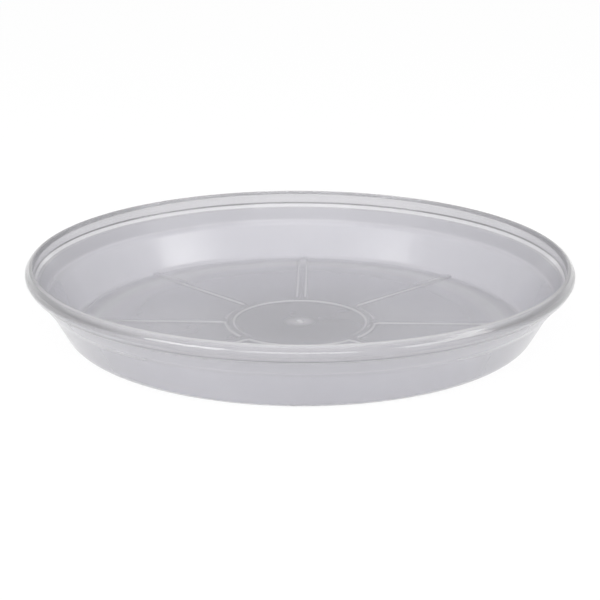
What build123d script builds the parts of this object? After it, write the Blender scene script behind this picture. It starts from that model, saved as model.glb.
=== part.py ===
from build123d import *
from math import hypot, radians, tan
import os

os.makedirs("parts", exist_ok=True)

# A round plant saucer, moulded in one piece of clear plastic.
# It stands on the plane z = 0 with its centre on the Z axis. Lengths are in millimetres, angles in degrees.

# Saucer as a whole
rim_diameter = 290.0
overall_height = 38.4
wall_thickness = 1.7

# Floor and foot
floor_thickness = 1.3
base_recess = 0.3
foot_inset = 22.0
foot_land_width = 12.0
foot_radius = 8.0
floor_corner_radius = 3.3

# Wall, in two drafted stretches with a gentle step between them
lower_wall_draft = 29.0
step_below_rim = 10.6
step_width = 2.6
step_rise = 3.0
step_radius = 8.0

# Rim bead
bead_height = 8.1
bead_width = 3.9
bead_draft = 9.7
bead_depth = 6.4
root_radius = 0.3
belly_drop = 5.4
belly_radius = 3.0
shoulder_drop = 3.2
shoulder_run = 2.4
shoulder_radius = 3.5
brow_radius = 2.0
crest_radius = 0.4
lip_tuck = 1.5
lip_radius = 0.6
ledge_width = 1.8
ledge_radius = 0.8

# Hub ring and ribs on the floor
hub_ring_diameter = 81.0
hub_ring_width = 5.1
rib_count = 8
rib_width = 5.2
rib_height = 0.7
rib_edge_radius = 0.35
rib_root_radius = 3.0
root_depth = 0.4

# Gate mark at the centre
gate_diameter = 3.4
gate_height = 1.0
gate_edge_radius = 0.5


def along(start, end, height):
    """Radius at a height on the straight line through two points, each a radius and a height."""
    share = (height - start[1]) / (end[1] - start[1])
    return start[0] + share * (end[0] - start[0])


def inside(start, end):
    """The same line moved inwards by the wall's thickness, measured square to the line."""
    shift = wall_thickness * hypot(end[0] - start[0], end[1] - start[1]) / (end[1] - start[1])
    return (start[0] - shift, start[1]), (end[0] - shift, end[1])


# Heights
floor_top = base_recess + floor_thickness
rim_underside = overall_height - bead_height
step_height = rim_underside - step_below_rim

# Outer corners of the section, each a radius and a height
rim_radius = rim_diameter / 2
foot_corner = (rim_radius - foot_inset, 0)
land_inner = (foot_corner[0] - foot_land_width, 0)
recess_edge = (land_inner[0] - base_recess, base_recess)
step_foot = (foot_corner[0] + step_height * tan(radians(lower_wall_draft)), step_height)
step_lip = (step_foot[0] + step_width, step_height + step_rise)
wall_top = (rim_radius - lip_tuck - ledge_width, rim_underside)
bead_lip = (rim_radius - lip_tuck, rim_underside)
belly = (rim_radius, overall_height - belly_drop)
shoulder = (rim_radius, overall_height - shoulder_drop)
brow = (rim_radius - shoulder_run, overall_height)
crest = (rim_radius - bead_width, overall_height)

# Inner corners. The step lies at the outer one's height, and above it the wall thickens towards the bead.
lower_inside = inside(foot_corner, step_foot)
inner_step_lip = inside(step_lip, wall_top)[0]
inner_step_foot = (along(*lower_inside, step_height), step_height)
floor_corner = (along(*lower_inside, floor_top), floor_top)
bead_root = (crest[0] - bead_depth * tan(radians(bead_draft)), overall_height - bead_depth)

# Ring of corners from the axis under the floor, out and up round the rim, and back to the axis above the floor
section_corners = [
    ((0, base_recess), 0),
    (recess_edge, 0),
    (land_inner, 0),
    (foot_corner, foot_radius),
    (step_foot, step_radius),
    (step_lip, step_radius),
    (wall_top, ledge_radius),
    (bead_lip, lip_radius),
    (belly, belly_radius),
    (shoulder, shoulder_radius),
    (brow, brow_radius),
    (crest, crest_radius),
    (bead_root, root_radius),
    (inner_step_lip, step_radius),
    (inner_step_foot, step_radius),
    (floor_corner, floor_corner_radius),
    ((0, floor_top), 0),
]

# Hub ring with its ribs, which run out into the wall
ring_radius = hub_ring_diameter / 2
ring_middle = ring_radius - hub_ring_width / 2
rib_end = floor_corner[0] + wall_thickness / 2
with BuildPart() as floor_pattern:
    with BuildSketch(Plane.XY.offset(floor_top - root_depth)) as pattern_outline:
        Circle(ring_radius)
        with PolarLocations(ring_middle, rib_count):
            Rectangle(rib_end - ring_middle, rib_width, align=(Align.MIN, Align.CENTER))
        rib_roots = [
            corner
            for corner in pattern_outline.vertices()
            if abs(hypot(corner.X, corner.Y) - ring_radius) < rib_edge_radius
        ]
        fillet(rib_roots, radius=rib_root_radius)
        Circle(ring_radius - hub_ring_width, mode=Mode.SUBTRACT)
    extrude(amount=root_depth + rib_height)
    fillet(floor_pattern.faces().sort_by(Axis.Z)[-1].edges(), radius=rib_edge_radius)

# Gate mark, a low rounded dot
with BuildPart() as gate_mark:
    with BuildSketch(Plane.XY.offset(floor_top - root_depth)):
        Circle(gate_diameter / 2)
    extrude(amount=root_depth + gate_height)
    fillet(gate_mark.faces().sort_by(Axis.Z)[-1].edges(), radius=gate_edge_radius)

# Saucer: the section turned about the axis, with the raised pattern and the gate mark on its floor
with BuildPart() as saucer:
    with BuildSketch(Plane.XZ):
        with BuildLine():
            FilletPolyline(
                *[corner for corner, radius in section_corners],
                radius=[radius for corner, radius in section_corners],
                close=True,
            )
        make_face()
    revolve(axis=Axis.Z)
    add(floor_pattern.part)
    add(gate_mark.part)

saucer.part.label = "saucer"
export_step(saucer.part, "parts/saucer.step")
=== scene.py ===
from math import asin, cos, hypot, pi, radians, sin, tan

import bpy
import numpy as np
from mathutils import Matrix, Vector


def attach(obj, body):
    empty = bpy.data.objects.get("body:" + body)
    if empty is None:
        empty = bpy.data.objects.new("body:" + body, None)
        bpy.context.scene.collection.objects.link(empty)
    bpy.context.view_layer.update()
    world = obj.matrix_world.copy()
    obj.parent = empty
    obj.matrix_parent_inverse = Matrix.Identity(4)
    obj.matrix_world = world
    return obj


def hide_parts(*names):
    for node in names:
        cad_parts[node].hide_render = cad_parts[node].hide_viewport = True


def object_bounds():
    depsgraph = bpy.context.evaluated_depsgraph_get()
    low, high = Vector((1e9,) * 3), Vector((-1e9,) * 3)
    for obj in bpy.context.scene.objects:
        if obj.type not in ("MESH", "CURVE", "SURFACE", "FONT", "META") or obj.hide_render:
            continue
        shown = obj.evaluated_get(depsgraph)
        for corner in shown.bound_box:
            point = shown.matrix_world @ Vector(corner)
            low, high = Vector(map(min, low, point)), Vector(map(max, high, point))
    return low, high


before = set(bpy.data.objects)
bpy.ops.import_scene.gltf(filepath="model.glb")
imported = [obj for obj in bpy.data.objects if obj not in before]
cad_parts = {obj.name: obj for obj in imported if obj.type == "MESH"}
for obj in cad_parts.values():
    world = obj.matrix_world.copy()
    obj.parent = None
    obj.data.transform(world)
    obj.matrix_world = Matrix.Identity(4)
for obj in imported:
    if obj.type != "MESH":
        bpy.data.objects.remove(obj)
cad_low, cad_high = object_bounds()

# A round plant saucer of clear, slightly hazy plastic, standing on a white table in soft light.
# Everything is in metres, with the saucer's axis on Z and its foot at z = 0.

MM = 0.001


# Camera, at the photograph's viewing angle

image_size = 600
focal_length_px = 1661.0
sensor_width_mm = 36.0
camera_distance = 0.896
camera_elevation = radians(18.76)
camera_azimuth = radians(0.9)
aim_above_centre = radians(0.843)
camera_roll = radians(0.216)
nearest_seen = 0.01
farthest_seen = 50.0


def make_camera():
    """Puts the camera on a sphere round the foot's centre and pitches it a little above that centre."""
    level = camera_distance * cos(camera_elevation)
    rise = camera_distance * sin(camera_elevation)
    place = Vector((level * sin(camera_azimuth), -level * cos(camera_azimuth), rise))
    pitch = camera_elevation - aim_above_centre
    look = Vector((-sin(camera_azimuth) * cos(pitch), cos(camera_azimuth) * cos(pitch), -sin(pitch)))
    data = bpy.data.cameras.new("photo_camera")
    data.sensor_width = sensor_width_mm
    data.lens = focal_length_px / image_size * sensor_width_mm
    data.clip_start = nearest_seen
    data.clip_end = farthest_seen
    camera = bpy.data.objects.new("photo_camera", data)
    bpy.context.scene.collection.objects.link(camera)
    turn = look.to_track_quat("-Z", "Y").to_matrix().to_4x4() @ Matrix.Rotation(camera_roll, 4, "Z")
    camera.matrix_world = Matrix.Translation(place) @ turn
    bpy.context.scene.camera = camera


# Saucer: driving sizes

rim_radius = cad_high.x
overall_height = cad_high.z
wall_thickness = 1.7 * MM

floor_thickness = 1.3 * MM
base_recess = 0.3 * MM
recess_radius = 0.25 * MM
foot_inset = 22.0 * MM
foot_land_width = 12.0 * MM
foot_radius = 8.0 * MM
floor_corner_radius = 3.3 * MM

lower_wall_draft = radians(29.0)
step_below_rim = 10.6 * MM
step_width = 2.6 * MM
step_rise = 3.0 * MM
step_radius = 8.0 * MM

bead_height = 8.1 * MM
bead_width = 3.9 * MM
bead_draft = radians(9.7)
bead_depth = 6.4 * MM
root_radius = 0.3 * MM
belly_drop = 5.4 * MM
belly_radius = 3.0 * MM
shoulder_drop = 3.2 * MM
shoulder_run = 2.4 * MM
shoulder_radius = 3.5 * MM
brow_radius = 2.0 * MM
crest_radius = 0.4 * MM
lip_tuck = 1.5 * MM
lip_radius = 0.6 * MM
ledge_width = 1.8 * MM
ledge_radius = 0.8 * MM

ring_radius = 40.5 * MM
ring_width = 5.1 * MM
rib_count = 8
rib_width = 5.2 * MM
rib_height = 0.7 * MM
edge_slope = radians(30.0)
edge_inset = 1.6 * MM
edge_crown_share = 0.75
rib_root_radius = 3.0 * MM

gate_top_radius = 0.5 * MM
gate_height = 1.0 * MM
gate_slope = radians(50.0)

# Heights and angles that follow from these
floor_top = base_recess + floor_thickness
rim_underside = overall_height - bead_height
step_height = rim_underside - step_below_rim
half_sector = pi / rib_count

# Painted light, as milky white plastic: painted highlights on raised edges and gate mark, and a lighter band
# along the floor's edge
edge_highlight_share = 0.3
edge_highlight_width = 0.8 * MM
edge_highlight_inset = 0.2 * MM
gate_highlight_share = 0.4
gate_highlight_radius = 3.6 * MM
floor_edge_light_share = 0.4
floor_edge_light_width = 16.0 * MM

# Painted shade: a dark grey line round the rim's lower lip, where shade falls under the rim
lip_shade_share = 0.9
lip_shade_width = 0.55 * MM

# Painted highlight: a lighter band along the crest, in the same milky white as the other painted light
crest_highlight_share = 0.25
crest_highlight_width = 1.3 * MM

# How finely the saucer's surface is divided
arc_step = radians(7.0)
fewest_arc_steps = 3
wall_run = 3.5 * MM
floor_run = 11.0 * MM
guard_run = 0.35 * MM
edge_arc_points = 6
lines_beside_edge = 4
columns_between_ribs = 9
rows_on_plain_floor = 9
rows_on_hub = 6

# Where the flat middle of a raised band starts, as places beyond its edge, so negative
top_edge = -1.1 * edge_inset
rib_crown_edge = -0.42 * rib_width

# Least radius of a corner's arc, so that nothing is divided by zero
least_arc_radius = 1e-9

# Height above the floor at which the columns begin to leave the ribs' spacing
spread_start = 2.2 * MM


# Saucer: its section, as (radius, height) points

def on_line(start, end, height):
    """Point at a height on the straight line through two points."""
    share = (height - start[1]) / (end[1] - start[1])
    return np.array([start[0] + share * (end[0] - start[0]), height])


def moved_in(start, end):
    """The same line moved inwards by the wall's thickness, measured square to the line."""
    shift = np.array([wall_thickness * hypot(*(end - start)) / (end[1] - start[1]), 0.0])
    return start - shift, end - shift


def section_corners():
    """Corners of the moulding with their radii, from under the floor round the rim to the hub ring."""
    foot = np.array([rim_radius - foot_inset, 0.0])
    land = np.array([foot[0] - foot_land_width, 0.0])
    recess = np.array([land[0] - base_recess, base_recess])
    step_foot = np.array([foot[0] + step_height * tan(lower_wall_draft), step_height])
    step_lip = step_foot + np.array([step_width, step_rise])
    wall_top = np.array([rim_radius - lip_tuck - ledge_width, rim_underside])
    lip = np.array([rim_radius - lip_tuck, rim_underside])
    belly = np.array([rim_radius, overall_height - belly_drop])
    shoulder = np.array([rim_radius, overall_height - shoulder_drop])
    brow = np.array([rim_radius - shoulder_run, overall_height])
    crest = np.array([rim_radius - bead_width, overall_height])
    lower_inside = moved_in(foot, step_foot)
    inner_step_lip = moved_in(step_lip, wall_top)[0]
    bead_root = crest - bead_depth * np.array([tan(bead_draft), 1.0])
    return [
        (np.array([0.0, base_recess]), 0.0),
        (recess, recess_radius),
        (land, recess_radius),
        (foot, foot_radius),
        (step_foot, step_radius),
        (step_lip, step_radius),
        (wall_top, ledge_radius),
        (lip, lip_radius),
        (belly, belly_radius),
        (shoulder, shoulder_radius),
        (brow, brow_radius),
        (crest, crest_radius),
        (bead_root, root_radius),
        (inner_step_lip, step_radius),
        (on_line(*lower_inside, step_height), step_radius),
        (on_line(*lower_inside, floor_top), floor_corner_radius),
        (np.array([ring_radius, floor_top]), 0.0),
    ]


def rounded(corners):
    """Turns cornered points into a path: at each corner an arc of its radius, tangent to both its runs.

    The arc's centre lies on the corner's bisector, radius / cos(half the turn) away, and its points are even
    in angle. Every corner turns by less than a right angle. A run between two arcs is divided evenly, with
    one more point close to each arc, so that flats stay flat. The last run is only begun, with one point.
    """
    stretches = []
    left = corners[0][0]
    for (before, _), (corner, radius), (after, _) in zip(corners, corners[1:], corners[2:]):
        into = (corner - before) / hypot(*(corner - before))
        out = (after - corner) / hypot(*(after - corner))
        turn = asin(into[0] * out[1] - into[1] * out[0])
        reach = radius * tan(abs(turn) / 2)
        square = np.array([-into[1], into[0]]) * (1 if turn > 0 else -1)
        centre = corner - into * reach + square * radius
        steps = max(fewest_arc_steps, round(abs(turn) / arc_step))
        swing = np.linspace(0.0, abs(turn), steps + 1)[:, None]
        arc = centre + radius * (into * np.sin(swing) - square * np.cos(swing))
        stretches += [divided(left, arc[0]), arc]
        left = arc[-1]
    stretches.append(divided(left, corners[-1][0])[:1])
    return np.vstack(stretches)


def divided(start, end):
    """Points inside a straight run: one close to each end where there is room, and even ones between."""
    length = hypot(*(end - start))
    level = abs(end[1] - start[1]) < MM
    if length < 3 * guard_run:
        return start + (end - start) * np.array([[0.5]])
    first = guard_run / length
    spaces = np.ceil((length - 2 * guard_run) / (floor_run if level else wall_run))
    count = max(2, int(spaces) + 1)
    return start + (end - start) * np.linspace(first, 1 - first, count)[:, None]


# Saucer: its surface, as a grid with rows along the section and columns round the axis

def raised_edge(height, slope):
    """Offsets across the soft edge of a raised shape and the heights there, from its top down to the floor.

    Two arcs that meet at the slope, a convex one and then a hollow one. Their radii add up to
    height / (1 - cos slope), of which the crown has its share.
    """
    both = height / (1 - cos(slope))
    crown = edge_crown_share * both
    root = both - crown
    swing = np.linspace(0.0, slope, edge_arc_points)
    back = swing[::-1][1:]
    offsets = np.concatenate([crown * np.sin(swing), both * sin(slope) - root * np.sin(back)])
    heights = np.concatenate([height - crown * (1 - np.cos(swing)), root * (1 - np.cos(back))])
    return offsets, heights


def band_edge():
    """Places where lines of the grid run along the edge of a rib or of the ring, and the heights there.

    A place is the distance beyond the band's edge, measured square to it. The lines go from the band's flat
    top across its soft edge to the floor beside it, as far as the rounded corners reach.
    """
    offsets, heights = raised_edge(rib_height, edge_slope)
    soft = offsets - edge_inset
    beside = np.linspace(soft[-1] + guard_run, rib_root_radius, lines_beside_edge)
    places = np.concatenate([[top_edge], soft, beside])
    return places, np.concatenate([[rib_height], heights, 0 * beside])


def floor_rows(floor_radius):
    """Radii of the rows from the floor's edge in to the axis, and their heights above the floor.

    In turn: plain floor, the ring's outer edge, its middle, its inner edge, the hub and the gate mark.
    """
    places, heights = band_edge()
    plain = np.linspace(floor_radius, ring_radius + places[-1], rows_on_plain_floor)[1:-1]
    ring_middle = ring_radius - ring_width / 2
    inward = len(places) - lines_beside_edge + 1
    inner_edge = ring_radius - ring_width - places[:inward]
    gate_offsets, gate_heights = raised_edge(gate_height, gate_slope)
    gate = gate_top_radius + gate_offsets[::-1]
    hub = np.linspace(inner_edge[-1], gate[0] + guard_run, rows_on_hub)[1:]
    radii = np.concatenate([plain, ring_radius + places[::-1], [ring_middle], inner_edge, hub, gate, [0.0]])
    rises = np.concatenate([
        0 * plain,
        heights[::-1],
        [rib_height],
        heights[:inward],
        0 * hub,
        gate_heights[::-1],
        [gate_height],
    ])
    return radii, rises


def corner_shift(u, v):
    """How far the grid moves where a rib meets the hub ring, so that its lines follow the rounded corner.

    u is the distance beyond the rib's edge and v beyond the ring's. Without the radius, the lines of equal
    distance are the nested right angles min(u, v) = m. Each becomes a quarter arc of radius
    rib_root_radius - m about the corner's centre: max(u, v) - m, as a share of that radius, is the share of
    45 degrees swung away from the diagonal. On the raised side the shift fades out towards the ring's
    middle, and its part across the rib towards the rib's middle too.
    """
    u_held = np.maximum(u, top_edge)
    v_held = np.maximum(v, top_edge)
    near = np.minimum(u_held, v_held)
    far = np.maximum(u_held, v_held)
    radius = np.maximum(rib_root_radius - near, least_arc_radius)
    swing = np.minimum((far - near) / radius, 1.0) * pi / 4
    far_side = rib_root_radius - radius * np.sin(pi / 4 - swing)
    near_side = rib_root_radius - radius * np.cos(pi / 4 - swing)
    new_u = np.where(u_held <= v_held, near_side, far_side)
    new_v = np.where(u_held <= v_held, far_side, near_side)
    fade_u = np.clip((u + rib_width / 2) / (top_edge + rib_width / 2), 0.0, 1.0)
    fade_v = np.clip((v + ring_width / 2) / (top_edge + ring_width / 2), 0.0, 1.0)
    in_corner = far < rib_root_radius
    across_rib = np.where(in_corner, new_u - u_held, 0.0) * fade_u * fade_v
    outwards = np.where(in_corner, new_v - v_held, 0.0) * fade_v
    return across_rib, outwards


def half_sector_columns(row_radius, row_height, inside, places):
    """Radius and angle at each row of the columns from a rib's middle to halfway to the next rib.

    Above the floor the columns keep to the ribs: a column u beyond a rib's edge lies at
    asin((half width + u) / radius) from the rib's middle, and the others divide the rest evenly. Inside the
    ring they run straight to the axis. Up the inner wall they spread out until they are even, which they are
    at the step, and they stay even round the rim and under the floor.
    """
    across_rib, outwards = corner_shift(places, row_radius - ring_radius)
    across_rib = np.where(inside, across_rib, 0.0)
    outwards = np.where(inside, outwards, 0.0)
    held_radius = np.maximum(row_radius + outwards, ring_radius - ring_width)
    by_rib = np.arcsin((rib_width / 2 + places + across_rib) / held_radius)
    share = np.linspace(0.0, 1.0, columns_between_ribs + 1)[1:]
    between_ribs = by_rib[:, -1:] + share * (half_sector - by_rib[:, -1:])
    radius = np.hstack([row_radius + outwards, np.repeat(row_radius, columns_between_ribs, axis=1)])
    angle = np.hstack([by_rib, between_ribs])

    wall_low = floor_top + spread_start
    spread = np.clip((row_height - wall_low) / (step_height - wall_low), 0.0, 1.0)
    spread = np.where(inside, spread * spread * (3 - 2 * spread), 1.0)
    even = np.linspace(0.0, half_sector, angle.shape[1])
    return radius, angle + spread * (even - angle)


def bell(distance, width):
    """Share that is 1 at no distance and fades on both sides: exp(-(distance / width) ** 2)."""
    return np.exp(-(distance / width) ** 2)


def floor_painted_light(radius, beyond, floor_edge):
    """Share of painted light in the floor, as milky white: the highest of the bells on raised edges, axis
    and floor's edge.

    beyond is the distance beyond a rib's edge. Where ring and ribs meet, the edge is the outline of both.
    """
    out_of_ring = np.abs(radius - ring_radius + ring_width / 2) - ring_width / 2
    inside_ring = radius < ring_radius - ring_width / 2
    to_edge = np.where(inside_ring, out_of_ring, np.minimum(out_of_ring, beyond))
    edges = edge_highlight_share * bell(to_edge + edge_highlight_inset, edge_highlight_width)
    gate = gate_highlight_share * bell(radius, gate_highlight_radius)
    corner = floor_edge_light_share * bell(radius - floor_edge, floor_edge_light_width)
    return np.maximum(np.maximum(edges, gate), corner)


def saucer_surface():
    """Grid of points of the whole moulding, with the shares of painted light and of painted shade under the
    lip at each.

    Each sector round a rib is a half and its mirror image. Above the floor, from the ring outwards, a
    point's height is the higher of its row's section and of the rib, and elsewhere it is the section's.
    """
    section = rounded(section_corners())
    radii, rises = floor_rows(section[-2][0])
    rows = np.vstack([section[:-1], np.column_stack([radii, floor_top + rises])])
    row_radius, row_height = rows[:, :1], rows[:, 1:]
    inside = (np.arange(len(rows)) > np.argmax(row_height))[:, None]

    places, heights = band_edge()
    places = np.concatenate([[-rib_width / 2, rib_crown_edge], places])
    rib_rise = np.concatenate([[rib_height, rib_height], heights, np.zeros(columns_between_ribs)])
    radius, angle = half_sector_columns(row_radius, row_height, inside, places)

    # Whole circle
    count = len(rib_rise)
    fold = np.concatenate([np.arange(count - 2, 0, -1), np.arange(count)])
    sign = np.concatenate([-np.ones(count - 2), np.ones(count)])
    turn = np.arange(rib_count) * 2 * half_sector
    theta = (turn[None, :, None] + (sign * angle[:, fold])[:, None, :]).reshape(len(rows), -1)
    radius = np.tile(radius[:, fold], rib_count)
    rib_top = np.tile(floor_top + rib_rise[fold], rib_count)
    ribbed = inside & (row_radius >= ring_radius + top_edge)
    height = np.where(ribbed, np.maximum(row_height, rib_top), row_height)
    points = np.stack([radius * np.cos(theta), radius * np.sin(theta), height], axis=-1)

    # Shares of painted light, the crest's painted highlight among it, and of painted shade under the lip
    floor_edge = section[-1][0]
    beyond_half = np.concatenate([places, np.full(columns_between_ribs, rib_root_radius)])
    # Painted highlights on raised edges and gate mark, and painted light along the floor's edge
    painted_light = floor_painted_light(radius, np.tile(beyond_half[fold], rib_count), floor_edge)
    painted_light = np.where(inside & (row_radius <= floor_edge), painted_light, 0.0)
    crest_middle = rim_radius - (bead_width + shoulder_run) / 2
    from_crest = np.hypot(row_radius - crest_middle, row_height - overall_height)
    # Painted highlight along the crest
    painted_light = np.maximum(painted_light, crest_highlight_share * bell(from_crest, crest_highlight_width))
    # Painted shade: a dark line along the rim's lower lip
    from_lip = np.hypot(row_radius - rim_radius + lip_tuck, row_height - rim_underside)
    painted_lip_shade = np.broadcast_to(lip_shade_share * bell(from_lip, lip_shade_width), radius.shape)
    return points, {"painted_light_share": painted_light, "painted_lip_shade": painted_lip_shade}


def closed_mesh(name, grid, shares):
    """Mesh of a grid whose rows are closed rings and whose first and last rows are points on the axis.

    A four-sided face joins each two neighbours of a ring to those of the next, and a fan of triangles joins
    each point on the axis to the ring beside it. Each of the shares, named and given for every point of the
    grid, becomes an attribute.
    """
    rows, columns, _ = grid.shape
    points = np.vstack([grid[:1, 0], grid[1:-1].reshape(-1, 3), grid[-1:, 0]])
    here = np.arange(columns)
    following = (here + 1) % columns
    ring = 1 + np.arange(rows - 3)[:, None] * columns
    above = ring + columns
    quads = np.stack([ring + here, ring + following, above + following, above + here], axis=-1)
    last = 1 + (rows - 3) * columns
    tip = np.full(columns, len(points) - 1)
    low_fan = np.stack([0 * here, 1 + following, 1 + here], axis=-1)
    high_fan = np.stack([last + here, last + following, tip], axis=-1)
    loops = np.concatenate([quads.ravel(), low_fan.ravel(), high_fan.ravel()])
    sizes = np.concatenate([np.full(quads.size // 4, 4), np.full(2 * columns, 3)])
    mesh = bpy.data.meshes.new(name)
    mesh.vertices.add(len(points))
    mesh.vertices.foreach_set("co", points.astype(np.float32).ravel())
    mesh.loops.add(len(loops))
    mesh.loops.foreach_set("vertex_index", loops.astype(np.int32))
    mesh.polygons.add(len(sizes))
    mesh.polygons.foreach_set("loop_start", (np.cumsum(sizes) - sizes).astype(np.int32))
    mesh.polygons.foreach_set("use_smooth", np.ones(len(sizes), bool))
    mesh.update(calc_edges=True)
    mesh.validate()
    for key, share in shares.items():
        values = np.concatenate([share[:1, 0], share[1:-1].ravel(), share[-1:, 0]]).astype(np.float32)
        mesh.attributes.new(key, "FLOAT", "POINT").data.foreach_set("value", values)
    return mesh


# Materials

def linear(hex_code):
    """Linear colour of an sRGB hex code: c / 12.92 below 0.04045, else ((c + 0.055) / 1.055) ** 2.4."""
    channels = [int(hex_code[i:i + 2], 16) / 255 for i in (1, 3, 5)]
    return tuple(c / 12.92 if c < 0.04045 else ((c + 0.055) / 1.055) ** 2.4 for c in channels) + (1.0,)


def add_node(tree, kind, inputs=None, **settings):
    """Adds a node, sets its properties, and sets or links its inputs, named or numbered."""
    node = tree.nodes.new(kind)
    for key, value in settings.items():
        setattr(node, key, value)
    for key, value in (inputs or {}).items():
        if isinstance(value, bpy.types.NodeSocket):
            tree.links.new(value, node.inputs[key])
        else:
            node.inputs[key].default_value = value
    return node


def new_material(name):
    """Empty node material; returns it with its tree and its output node."""
    material = bpy.data.materials.new(name)
    material.use_nodes = True
    material.node_tree.nodes.clear()
    return material, material.node_tree, add_node(material.node_tree, "ShaderNodeOutputMaterial")


# Plastic: share of it that is clear, uneven over floor and lower wall, and how rough its faces are
least_clear_share = 0.62
most_clear_share = 0.66
upper_wall_clear_share = 0.46
rim_clear_share = 0.79
textured_roughness = 0.24
smooth_roughness = 0.14

# Size of the patches that the melt's flow left, and the range in which nearly all of the noise lies
flow_patch_size = 60.0 * MM
noise_low = 0.3
noise_high = 0.7

# Where the look changes: in a sharp line below the rim's underside, and softly about the top of the step
smooth_down_to = 1.7 * MM
textured_from = 1.9 * MM
haze_change_below_step_top = 1.6 * MM
haze_change_above_step_top = 0.4 * MM

# Gloss and colours of the plastic. The absorption is in its depth, per metre.
plastic_ior = 1.49
coat_share = 0.5
coat_roughness = 0.15
body_tint = "#e8e7ed"
upper_wall_tint = "#d7d6dc"
rim_tint = "#fdfcff"
# White of the painted light on raised edges, gate mark, floor's edge and crest
painted_light_tint = "#ffffff"
# Dark grey of the painted shade under the lip
lip_shade_tint = "#505054"
depth_tint = "#303048"
depth_absorption = 80.0


def hazy_clear_plastic():
    """Clarified polypropylene, injection moulded.

    The fine-textured faces of the mould leave floor and wall hazy, most of all above the step. Its smooth
    part leaves the rim, and a thin strip of the wall below it, glassy. Thick plastic is darker than thin.
    """
    material, tree, output = new_material("clarified_polypropylene")
    place = add_node(tree, "ShaderNodeTexCoord").outputs["Object"]
    height = add_node(tree, "ShaderNodeSeparateXYZ", {"Vector": place}).outputs["Z"]
    in_rim = add_node(tree, "ShaderNodeMapRange", {
        "Value": height,
        "From Min": rim_underside - textured_from,
        "From Max": rim_underside - smooth_down_to,
    }).outputs["Result"]
    step_top = step_height + step_rise
    above_step = add_node(tree, "ShaderNodeMapRange", {
        "Value": height,
        "From Min": step_top - haze_change_below_step_top,
        "From Max": step_top + haze_change_above_step_top,
    }, interpolation_type="SMOOTHSTEP").outputs["Result"]

    # Share of clear plastic: uneven in patches where the melt flowed, and less where light is painted on as
    # milky white
    flow = add_node(tree, "ShaderNodeTexNoise", {
        "Vector": place,
        "Scale": 1 / flow_patch_size,
        "Detail": 3.0,
    }).outputs["Fac"]
    clear_share = add_node(tree, "ShaderNodeMapRange", {
        "Value": flow,
        "From Min": noise_low,
        "From Max": noise_high,
        "To Min": least_clear_share,
        "To Max": most_clear_share,
    }).outputs["Result"]
    painted_light = add_node(tree, "ShaderNodeAttribute", attribute_name="painted_light_share").outputs["Fac"]
    for where, share in (above_step, upper_wall_clear_share), (in_rim, rim_clear_share), (painted_light, 0.0):
        clear_share = add_node(tree, "ShaderNodeMix", {
            "Factor": where,
            "A": clear_share,
            "B": share,
        }, data_type="FLOAT").outputs["Result"]
    roughness = add_node(tree, "ShaderNodeMix", {
        "Factor": in_rim,
        "A": textured_roughness,
        "B": smooth_roughness,
    }, data_type="FLOAT").outputs["Result"]

    # Tint, a faint lavender grey: a little deeper above the step, hardly any in the rim, white where light
    # is painted, dark grey as painted shade under the lip
    painted_lip_shade = add_node(tree, "ShaderNodeAttribute", attribute_name="painted_lip_shade").outputs["Fac"]
    tint = linear(body_tint)
    tints = (above_step, upper_wall_tint), (in_rim, rim_tint), (painted_light, painted_light_tint), (painted_lip_shade, lip_shade_tint)
    for where, hex_code in tints:
        tint = add_node(tree, "ShaderNodeMix", {
            "Factor": where,
            "A": tint,
            "B": linear(hex_code),
        }, data_type="RGBA").outputs["Result"]

    shader = add_node(tree, "ShaderNodeBsdfPrincipled", {
        "Base Color": tint,
        "Roughness": roughness,
        "IOR": plastic_ior,
        "Transmission Weight": clear_share,
        "Coat Weight": coat_share,
        "Coat Roughness": coat_roughness,
    })
    depth = add_node(tree, "ShaderNodeVolumeAbsorption", {
        "Color": linear(depth_tint),
        "Density": depth_absorption,
    })
    tree.links.new(shader.outputs["BSDF"], output.inputs["Surface"])
    tree.links.new(depth.outputs["Volume"], output.inputs["Volume"])
    return material


# Paper of the table: its colours, and how much of the plain white ground stands in for it under the saucer,
# less towards the middle as a painted shadow
paper_tint = "#f4f4f4"
ground_tint = "#5c5c5c"
ground_glow = 0.92
least_ground_share_in_painted_shadow = 0.11
painted_shadow_core_radius = 10.0 * MM
painted_shadow_outer_radius = 100.0 * MM


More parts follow.
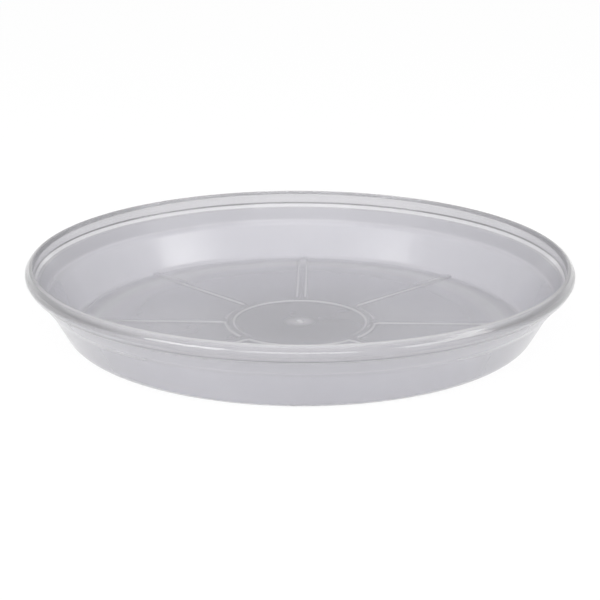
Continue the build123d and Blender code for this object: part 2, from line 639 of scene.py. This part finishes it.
def white_table():
    """Matt white paper, lit and shadowed as such.

    The camera, and the saucer's gloss and clear plastic, see it as a plain white ground. Under the saucer
    they see more of the lit and shadowed paper, the more the nearer to the middle: a painted shadow, set by
    the distance from the middle, over the paper's real one.
    """
    material, tree, output = new_material("matt_white_paper")
    path = add_node(tree, "ShaderNodeLightPath").outputs
    by_plastic = add_node(tree, "ShaderNodeMath", {
        0: path["Is Glossy Ray"],
        1: path["Is Transmission Ray"],
    }, operation="MAXIMUM").outputs[0]
    seen = add_node(tree, "ShaderNodeMath", {
        0: path["Is Camera Ray"],
        1: by_plastic,
    }, operation="MAXIMUM").outputs[0]
    place = add_node(tree, "ShaderNodeTexCoord").outputs["Object"]
    from_middle = add_node(tree, "ShaderNodeVectorMath", {0: place}, operation="LENGTH").outputs["Value"]
    # Share of plain white ground, falling towards the middle: a painted shadow under the saucer
    white_ground_share_with_painted_shadow = add_node(tree, "ShaderNodeMapRange", {
        "Value": from_middle,
        "From Min": painted_shadow_core_radius,
        "From Max": painted_shadow_outer_radius,
        "To Min": least_ground_share_in_painted_shadow,
        "To Max": 1.0,
    }, interpolation_type="SMOOTHSTEP").outputs["Result"]
    paper = add_node(tree, "ShaderNodeBsdfDiffuse", {"Color": linear(paper_tint)}).outputs[0]
    dull = add_node(tree, "ShaderNodeBsdfDiffuse", {"Color": linear(ground_tint)}).outputs[0]
    glow = add_node(tree, "ShaderNodeEmission", {
        "Color": linear("#ffffff"),
        "Strength": ground_glow,
    }).outputs[0]
    ground = add_node(tree, "ShaderNodeAddShader", {0: dull, 1: glow}).outputs[0]
    shown = add_node(tree, "ShaderNodeMixShader", {0: white_ground_share_with_painted_shadow, 1: paper, 2: ground}).outputs[0]
    table = add_node(tree, "ShaderNodeMixShader", {0: seen, 1: paper, 2: shown}).outputs[0]
    tree.links.new(table, output.inputs["Surface"])
    return material


# Saucer

def make_saucer():
    """The one moulding, as a closed surface of its own in place of the plainly divided solid."""
    saucer = bpy.data.objects.new("saucer_moulding", closed_mesh("saucer_moulding", *saucer_surface()))
    bpy.context.scene.collection.objects.link(saucer)
    saucer.data.materials.append(hazy_clear_plastic())
    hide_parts("saucer")
    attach(saucer, "root")


# Table, lamps and surroundings

table_size = 6.0
table_gap = 0.1 * MM

# The room: how bright it is above the white background, and between which elevations that changes
room_brightness = 0.54
white_up_to = radians(7.0)
room_from = radians(11.5)


def make_table():
    """Wide flat square just under the foot."""
    half = table_size / 2
    mesh = bpy.data.meshes.new("table")
    corners = [(-half, -half), (half, -half), (half, half), (-half, half)]
    mesh.from_pydata([(x, y, -table_gap) for x, y in corners], [], [(0, 1, 2, 3)])
    table = bpy.data.objects.new("table", mesh)
    bpy.context.scene.collection.objects.link(table)
    table.data.materials.append(white_table())


def softbox(name, azimuth, elevation, distance, size, power):
    """Rectangular lamp aimed at the saucer's foot. Azimuth 0 is the camera's side, 90 the right.

    Angles are in degrees, distance and size in metres, power in watts.
    """
    turned, raised = radians(azimuth), radians(elevation)
    to_lamp = Vector((sin(turned) * cos(raised), -cos(turned) * cos(raised), sin(raised)))
    data = bpy.data.lights.new(name, "AREA")
    data.shape = "RECTANGLE"
    data.size, data.size_y = size
    data.energy = power
    lamp = bpy.data.objects.new(name, data)
    bpy.context.scene.collection.objects.link(lamp)
    turn = (-to_lamp).to_track_quat("-Z", "Y").to_matrix().to_4x4()
    lamp.matrix_world = Matrix.Translation(to_lamp * distance) @ turn


def make_world():
    """White low down, where it is the background that camera and plastic see, and greyer higher up."""
    world = bpy.data.worlds.new("studio")
    bpy.context.scene.world = world
    world.use_nodes = True
    tree = world.node_tree
    tree.nodes.clear()
    direction = add_node(tree, "ShaderNodeTexCoord").outputs["Generated"]
    up = add_node(tree, "ShaderNodeSeparateXYZ", {"Vector": direction}).outputs["Z"]
    brightness = add_node(tree, "ShaderNodeMapRange", {
        "Value": up,
        "From Min": sin(white_up_to),
        "From Max": sin(room_from),
        "To Min": 1.0,
        "To Max": room_brightness,
    }, interpolation_type="SMOOTHSTEP").outputs["Result"]
    background = add_node(tree, "ShaderNodeBackground", {
        "Color": linear("#ffffff"),
        "Strength": brightness,
    })
    output = add_node(tree, "ShaderNodeOutputWorld")
    tree.links.new(background.outputs[0], output.inputs["Surface"])


make_camera()
make_saucer()
make_table()
softbox("right_softbox", azimuth=63.0, elevation=29.0, distance=1.4, size=(0.9, 0.5), power=5.2)
softbox("left_softbox", azimuth=-46.0, elevation=29.0, distance=1.4, size=(0.75, 0.5), power=6.2)
softbox("overhead_softbox", azimuth=0.0, elevation=63.0, distance=1.3, size=(0.9, 0.5), power=1.2)
softbox("front_softbox", azimuth=0.0, elevation=25.0, distance=1.5, size=(1.2, 0.5), power=5.7)
make_world()
bpy.context.scene.view_settings.view_transform = "Standard"
